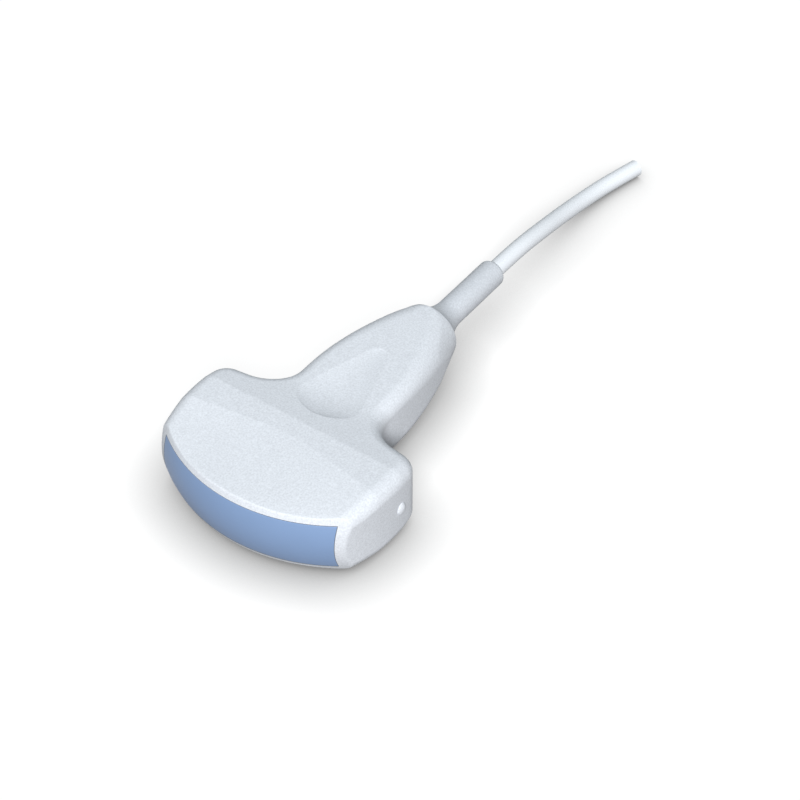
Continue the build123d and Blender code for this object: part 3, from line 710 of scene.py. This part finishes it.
@dataclass
class Housing:
    """Both shells of the moulded housing and the orientation marker on its right side."""

    crease: float = 20.0
    end_cut_y: float = 76.1 * MM
    dome_centre: Point = (40.55 * MM, 1.8 * MM, 13.7 * MM)
    dome_half: Point = (1.3 * MM, 2.1 * MM, 2.5 * MM)
    dome_turns: int = 48
    dome_rings: int = 24
    recess_base_y: float = 9.6 * MM
    recess_base_radius: float = 14.0 * MM
    recess_taper: float = 0.335
    recess_apex_y: float = 57.5 * MM
    recess_tip_y: float = 48.6 * MM
    recess_sharpness: float = 12.0
    rim_inset: float = 0.3 * MM
    rim_band: float = 0.55 * MM

    def on_recess_rim(self, place: Vector) -> bool:
        """Tell whether a point lies on the thumb recess's rim.

        Args:
            place: The point.

        Returns:
            True on the rim's base arc or on its straight sides.
        """
        if not self.recess_base_y < place.y < self.recess_tip_y:
            return False
        behind = max(0.0, self.recess_base_y + self.recess_base_radius - place.y)
        base = sqrt(self.recess_base_radius**2 - behind**2)
        side = self.recess_taper * (self.recess_apex_y - place.y)
        power = self.recess_sharpness
        half = ((base / MM) ** -power + (side / MM) ** -power) ** (-1 / power) * MM
        return abs(abs(place.x) - half + self.rim_inset) < self.rim_band

    def build_marker(self, material: bpy.types.Material) -> bpy.types.Object:
        """Put a full dome over the marker's own stem.

        Args:
            material: The housing's material.

        Returns:
            The finished marker.
        """
        marker = smooth_copy("orientation_marker", "marker_dome", material, self.crease)
        dome = bmesh.new()
        dome.from_mesh(marker.data)
        stem_points, stem_faces = len(dome.verts), len(dome.faces)
        ball = bmesh.ops.create_uvsphere(
            dome, u_segments=self.dome_turns, v_segments=self.dome_rings, radius=1.0
        )
        for vertex in ball["verts"]:
            spread = [size * part for size, part in zip(self.dome_half, vertex.co)]
            vertex.co = Vector(self.dome_centre) + Vector(spread)
            for face in vertex.link_faces:
                face.smooth = True
        settle_order(dome.verts, stem_points, lambda vertex: vertex.co)
        settle_order(dome.faces, stem_faces, lambda face: face.calc_center_median())
        dome.to_mesh(marker.data)
        dome.free()
        return marker

    def build(self) -> None:
        """Make the shells and the marker and set them on the frame."""
        plastic = SHELL_PLASTIC.build()
        for node in ("upper_shell", "lower_shell"):
            cover = smooth_copy(
                node, f"{node}_cover", plastic, self.crease, self.end_cut_y, self.on_recess_rim
            )
            place_piece(cover, Slot.SHELL, node)
        place_piece(self.build_marker(plastic), Slot.SHELL, "orientation_marker")


@dataclass
class Boot:
    """The strain relief boot: inner neck with its flange, flared root, straight sleeve and mouth."""

    axis_z: float = 14.0 * MM
    bore: float = 3.3 * MM
    flange_y: float = 71.9 * MM
    flange: float = 3.1 * MM
    flange_radius: float = 7.285 * MM
    neck_radius: float = 5.935 * MM
    root_y: float = 76.1 * MM
    root_radius: float = 10.3 * MM
    sleeve_y: float = 88.0 * MM
    sleeve_radius: float = 5.085 * MM
    end_y: float = 114.9 * MM
    end_edge: float = 1.5 * MM
    turns: int = 144
    flare_steps: int = 28
    edge_steps: int = 6
    crease: float = 30.0

    def profile(self) -> list[tuple[float, float]]:
        """Work out the boot's closed half section.

        Returns:
            Pairs of Y and radius, out along the outside and back through the bore.
        """
        points = [
            (self.flange_y, self.bore),
            (self.flange_y, self.flange_radius),
            (self.flange_y + self.flange, self.flange_radius),
            (self.flange_y + self.flange, self.neck_radius),
            (self.root_y, self.neck_radius),
        ]
        run = self.sleeve_y - self.root_y
        rise = self.root_radius - self.sleeve_radius
        blend = (run**2 + rise**2) / (2 * rise)
        for step in range(self.flare_steps + 1):
            y = self.root_y + run * step / self.flare_steps
            points.append((y, self.sleeve_radius + blend - sqrt(blend**2 - (self.sleeve_y - y) ** 2)))
        for step in range(self.edge_steps + 1):
            turn = pi / 2 * step / self.edge_steps
            radius = self.sleeve_radius - self.end_edge * (1 - cos(turn))
            points.append((self.end_y - self.end_edge * (1 - sin(turn)), radius))
        points.append((self.end_y, self.bore))
        return points

    def build(self) -> None:
        """Turn the half section round the boot's axis and set the piece on the frame."""
        work = bmesh.new()
        angles = [2 * pi * turn / self.turns for turn in range(self.turns)]
        rings = [
            [work.verts.new((radius * cos(turn), y, self.axis_z + radius * sin(turn))) for turn in angles]
            for y, radius in self.profile()
        ]
        for ring, following in zip(rings, rings[1:] + rings[:1]):
            for turn in range(self.turns):
                after = (turn + 1) % self.turns
                work.faces.new((ring[turn], ring[after], following[after], following[turn]))
        bmesh.ops.recalc_face_normals(work, faces=work.faces)
        mesh = bpy.data.meshes.new("boot")
        work.to_mesh(mesh)
        work.free()
        mesh.materials.append(BOOT_ELASTOMER.build())
        mesh.shade_smooth()
        mesh.set_sharp_from_angle(angle=radians(self.crease))
        place_piece(linked_object("boot", mesh), Slot.BOOT, "strain_relief")


@dataclass
class CableRun:
    """The free cable with its cut end."""

    diameter: float = 6.37 * MM
    length: float = 95.83 * MM
    curve_order: int = 3
    curve_steps: int = 24
    round_steps: int = 12
    route: list[Point] = field(
        default_factory=lambda: [
            (0.0, 0.1149, 0.014),
            (0.0, 0.1294, 0.014),
            (-0.0004, 0.1455, 0.0116),
            (-0.0015, 0.1620, 0.0078),
            (-0.0017, 0.1788, 0.0046),
            (0.0, 0.1953, 0.003205),
            (0.0035, 0.2093, 0.003205),
        ]
    )

    def build_cable(self, material: bpy.types.Material) -> bpy.types.Object:
        """Lay the cable on its route as one smooth curve.

        Args:
            material: The jacket's material.

        Returns:
            The cable's curve object.
        """
        curve = bpy.data.curves.new("free_cable", "CURVE")
        curve.dimensions = "3D"
        spline = curve.splines.new("NURBS")
        spline.points.add(len(self.route) - 1)
        for point, place in zip(spline.points, self.route):
            point.co = (*place, 1.0)
        spline.order_u = self.curve_order
        spline.use_endpoint_u = True
        spline.resolution_u = self.curve_steps
        curve.bevel_depth = self.diameter / 2
        curve.bevel_resolution = self.round_steps
        curve.use_fill_caps = True
        curve.materials.append(material)
        return linked_object("free_cable", curve)

    def build(self) -> None:
        """Make the cable and set it on the frame."""
        cable = self.build_cable(CABLE_JACKET.build())
        place_piece(cable, Slot.JACKET, "cable")


@dataclass
class InnerPieces:
    """The pieces inside the closed housing, which keep their frame meshes."""

    def build(self) -> None:
        """Dress each inner node with its own finish."""
        for finish, nodes in INNER_FINISHES.items():
            material = finish.build()
            for node in nodes:
                self.dress(node, material)
        self.dress("gripped_cable", bpy.data.materials[CABLE_JACKET.name])
        log.info("inner finishes: %d", len(INNER_FINISHES) + 1)

    def dress(self, node: str, material: bpy.types.Material) -> None:
        """Put a material in every slot of a node.

        Args:
            node: The frame node.
            material: Its material.
        """
        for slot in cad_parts[node].material_slots:
            slot.material = material


@dataclass
class Studio:
    """Camera, white floor and soft light."""

    camera_place: Point = (0.29909, -0.35866, 0.48627)
    camera_turn: Point = (46.22, 0.0, 35.681)
    focal_length: float = 92.15
    sensor: float = 36.0
    near: float = 0.01
    floor_half: float = 3.0
    floor_bounce: float = 0.05
    floor_white: float = 0.12
    floor_glow: float = 0.92
    # How far the floor's painted contact shadow reaches, in metres
    painted_shade_reach: float = 0.018
    key_direction: Point = (0.51, -0.62, 0.60)
    key_strength: float = 3.5
    key_spread: float = 18.0
    top_direction: Point = (0.05, -0.05, 1.0)
    top_colour: Colour = (0.80, 0.96, 1.0)
    top_strength: float = 0.58
    top_spread: float = 60.0
    fill_direction: Point = (-0.85, 0.45, 0.10)
    fill_strength: float = 0.36
    fill_spread: float = 60.0
    sky: float = 0.10

    def build_camera(self) -> None:
        """Set the camera at the photograph's viewpoint."""
        lens = bpy.data.cameras.new("camera")
        lens.lens = self.focal_length
        lens.sensor_width = self.sensor
        lens.clip_start = self.near
        camera = linked_object("camera", lens)
        camera.location = self.camera_place
        camera.rotation_euler = [radians(turn) for turn in self.camera_turn]
        bpy.context.scene.camera = camera

    def add_sun(
        self, name: str, direction: Point, strength: float, spread: float, colour: Colour = (1.0, 1.0, 1.0)
    ) -> None:
        """Add one soft directional lamp.

        Args:
            name: The lamp's name.
            direction: Where the light comes from.
            strength: Its strength.
            spread: Its angular size in degrees.
            colour: Its colour, linear.
        """
        lamp = bpy.data.lights.new(name, "SUN")
        lamp.color = colour
        lamp.energy = strength
        lamp.angle = radians(spread)
        sun = linked_object(name, lamp)
        sun.rotation_euler = Vector(direction).to_track_quat("Z", "Y").to_euler()

    def shown_rays(self, tree: bpy.types.NodeTree) -> bpy.types.NodeSocket:
        """Tell the rays that show the background from the ones that light the probe.

        Args:
            tree: The node tree to write in.

        Returns:
            A value of 1 for camera, mirror and see-through rays.
        """
        path = tree.nodes.new("ShaderNodeLightPath")
        shown = path.outputs["Is Camera Ray"]
        for kind in ("Is Glossy Ray", "Is Transmission Ray"):
            either = tree.nodes.new("ShaderNodeMath")
            either.operation = "MAXIMUM"
            tree.links.new(shown, either.inputs[0])
            tree.links.new(path.outputs[kind], either.inputs[1])
            shown = either.outputs[0]
        return shown

    def floor_material(self) -> bpy.types.Material:
        """Make the floor's material: white, with a soft painted contact shadow, and dim in the light it
        throws back.

        Returns:
            The floor's material.
        """
        material = bpy.data.materials.new("white_floor")
        material.use_nodes = True
        nodes = material.node_tree.nodes
        links = material.node_tree.links
        nodes.remove(nodes["Principled BSDF"])
        shown = self.shown_rays(material.node_tree)
        bounce, white = [(grey,) * 3 for grey in (self.floor_bounce, self.floor_white)]
        surface = nodes.new("ShaderNodeBsdfDiffuse")
        links.new(mix_colours(material.node_tree, shown, bounce, white), surface.inputs["Color"])
        # Painted contact shadow: ambient occlusion darkens the floor's white glow near the probe, for
        # camera, mirror and see-through rays
        painted_contact_shade = nodes.new("ShaderNodeAmbientOcclusion")
        painted_contact_shade.inputs["Distance"].default_value = self.painted_shade_reach
        level = nodes.new("ShaderNodeMath")
        level.operation = "MULTIPLY"
        links.new(shown, level.inputs[0])
        level.inputs[1].default_value = self.floor_glow
        glow = nodes.new("ShaderNodeEmission")
        links.new(painted_contact_shade.outputs["Color"], glow.inputs["Color"])
        links.new(level.outputs[0], glow.inputs["Strength"])
        both = nodes.new("ShaderNodeAddShader")
        links.new(surface.outputs[0], both.inputs[0])
        links.new(glow.outputs[0], both.inputs[1])
        links.new(both.outputs[0], nodes["Material Output"].inputs["Surface"])
        material.cycles.emission_sampling = "NONE"
        return material

    def build_floor(self) -> None:
        """Lay the floor under the probe."""
        half = self.floor_half
        mesh = bpy.data.meshes.new("floor")
        corners = [(-half, -half, 0.0), (half, -half, 0.0), (half, half, 0.0), (-half, half, 0.0)]
        mesh.from_pydata(corners, [], [(0, 1, 2, 3)])
        mesh.materials.append(self.floor_material())
        linked_object("floor", mesh)

    def build_sky(self) -> None:
        """Give the world its even light, white where the camera or a reflection shows it."""
        world = bpy.data.worlds.new("studio")
        bpy.context.scene.world = world
        world.use_nodes = True
        nodes = world.node_tree.nodes
        links = world.node_tree.links
        level = nodes.new("ShaderNodeMapRange")
        level.inputs["To Min"].default_value = self.sky
        level.inputs["To Max"].default_value = 1.0
        links.new(self.shown_rays(world.node_tree), level.inputs["Value"])
        background = nodes["Background"]
        background.inputs["Color"].default_value = (1.0, 1.0, 1.0, 1.0)
        links.new(level.outputs["Result"], background.inputs["Strength"])

    def build(self) -> None:
        """Set up the camera, the floor and the light."""
        self.build_camera()
        self.build_floor()
        self.build_sky()
        self.add_sun("key_light", self.key_direction, self.key_strength, self.key_spread)
        self.add_sun("top_light", self.top_direction, self.top_strength, self.top_spread, self.top_colour)
        self.add_sun("fill_light", self.fill_direction, self.fill_strength, self.fill_spread)
        bpy.context.scene.view_settings.view_transform = "Standard"


def main() -> None:
    """Build the studio and every visible piece."""
    logging.basicConfig(level=logging.INFO, format="%(name)s: %(message)s")
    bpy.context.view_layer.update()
    for part in (Studio(), CableRun(), Boot(), Housing(), ConvexWindow(), InnerPieces()):
        part.build()


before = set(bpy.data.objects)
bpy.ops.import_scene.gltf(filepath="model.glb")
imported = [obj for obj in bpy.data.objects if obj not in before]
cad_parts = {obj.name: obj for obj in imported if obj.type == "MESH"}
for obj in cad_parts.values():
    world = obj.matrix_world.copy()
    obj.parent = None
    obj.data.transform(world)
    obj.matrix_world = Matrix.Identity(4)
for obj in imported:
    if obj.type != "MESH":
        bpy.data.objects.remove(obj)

if __name__ == "__main__":
    main()
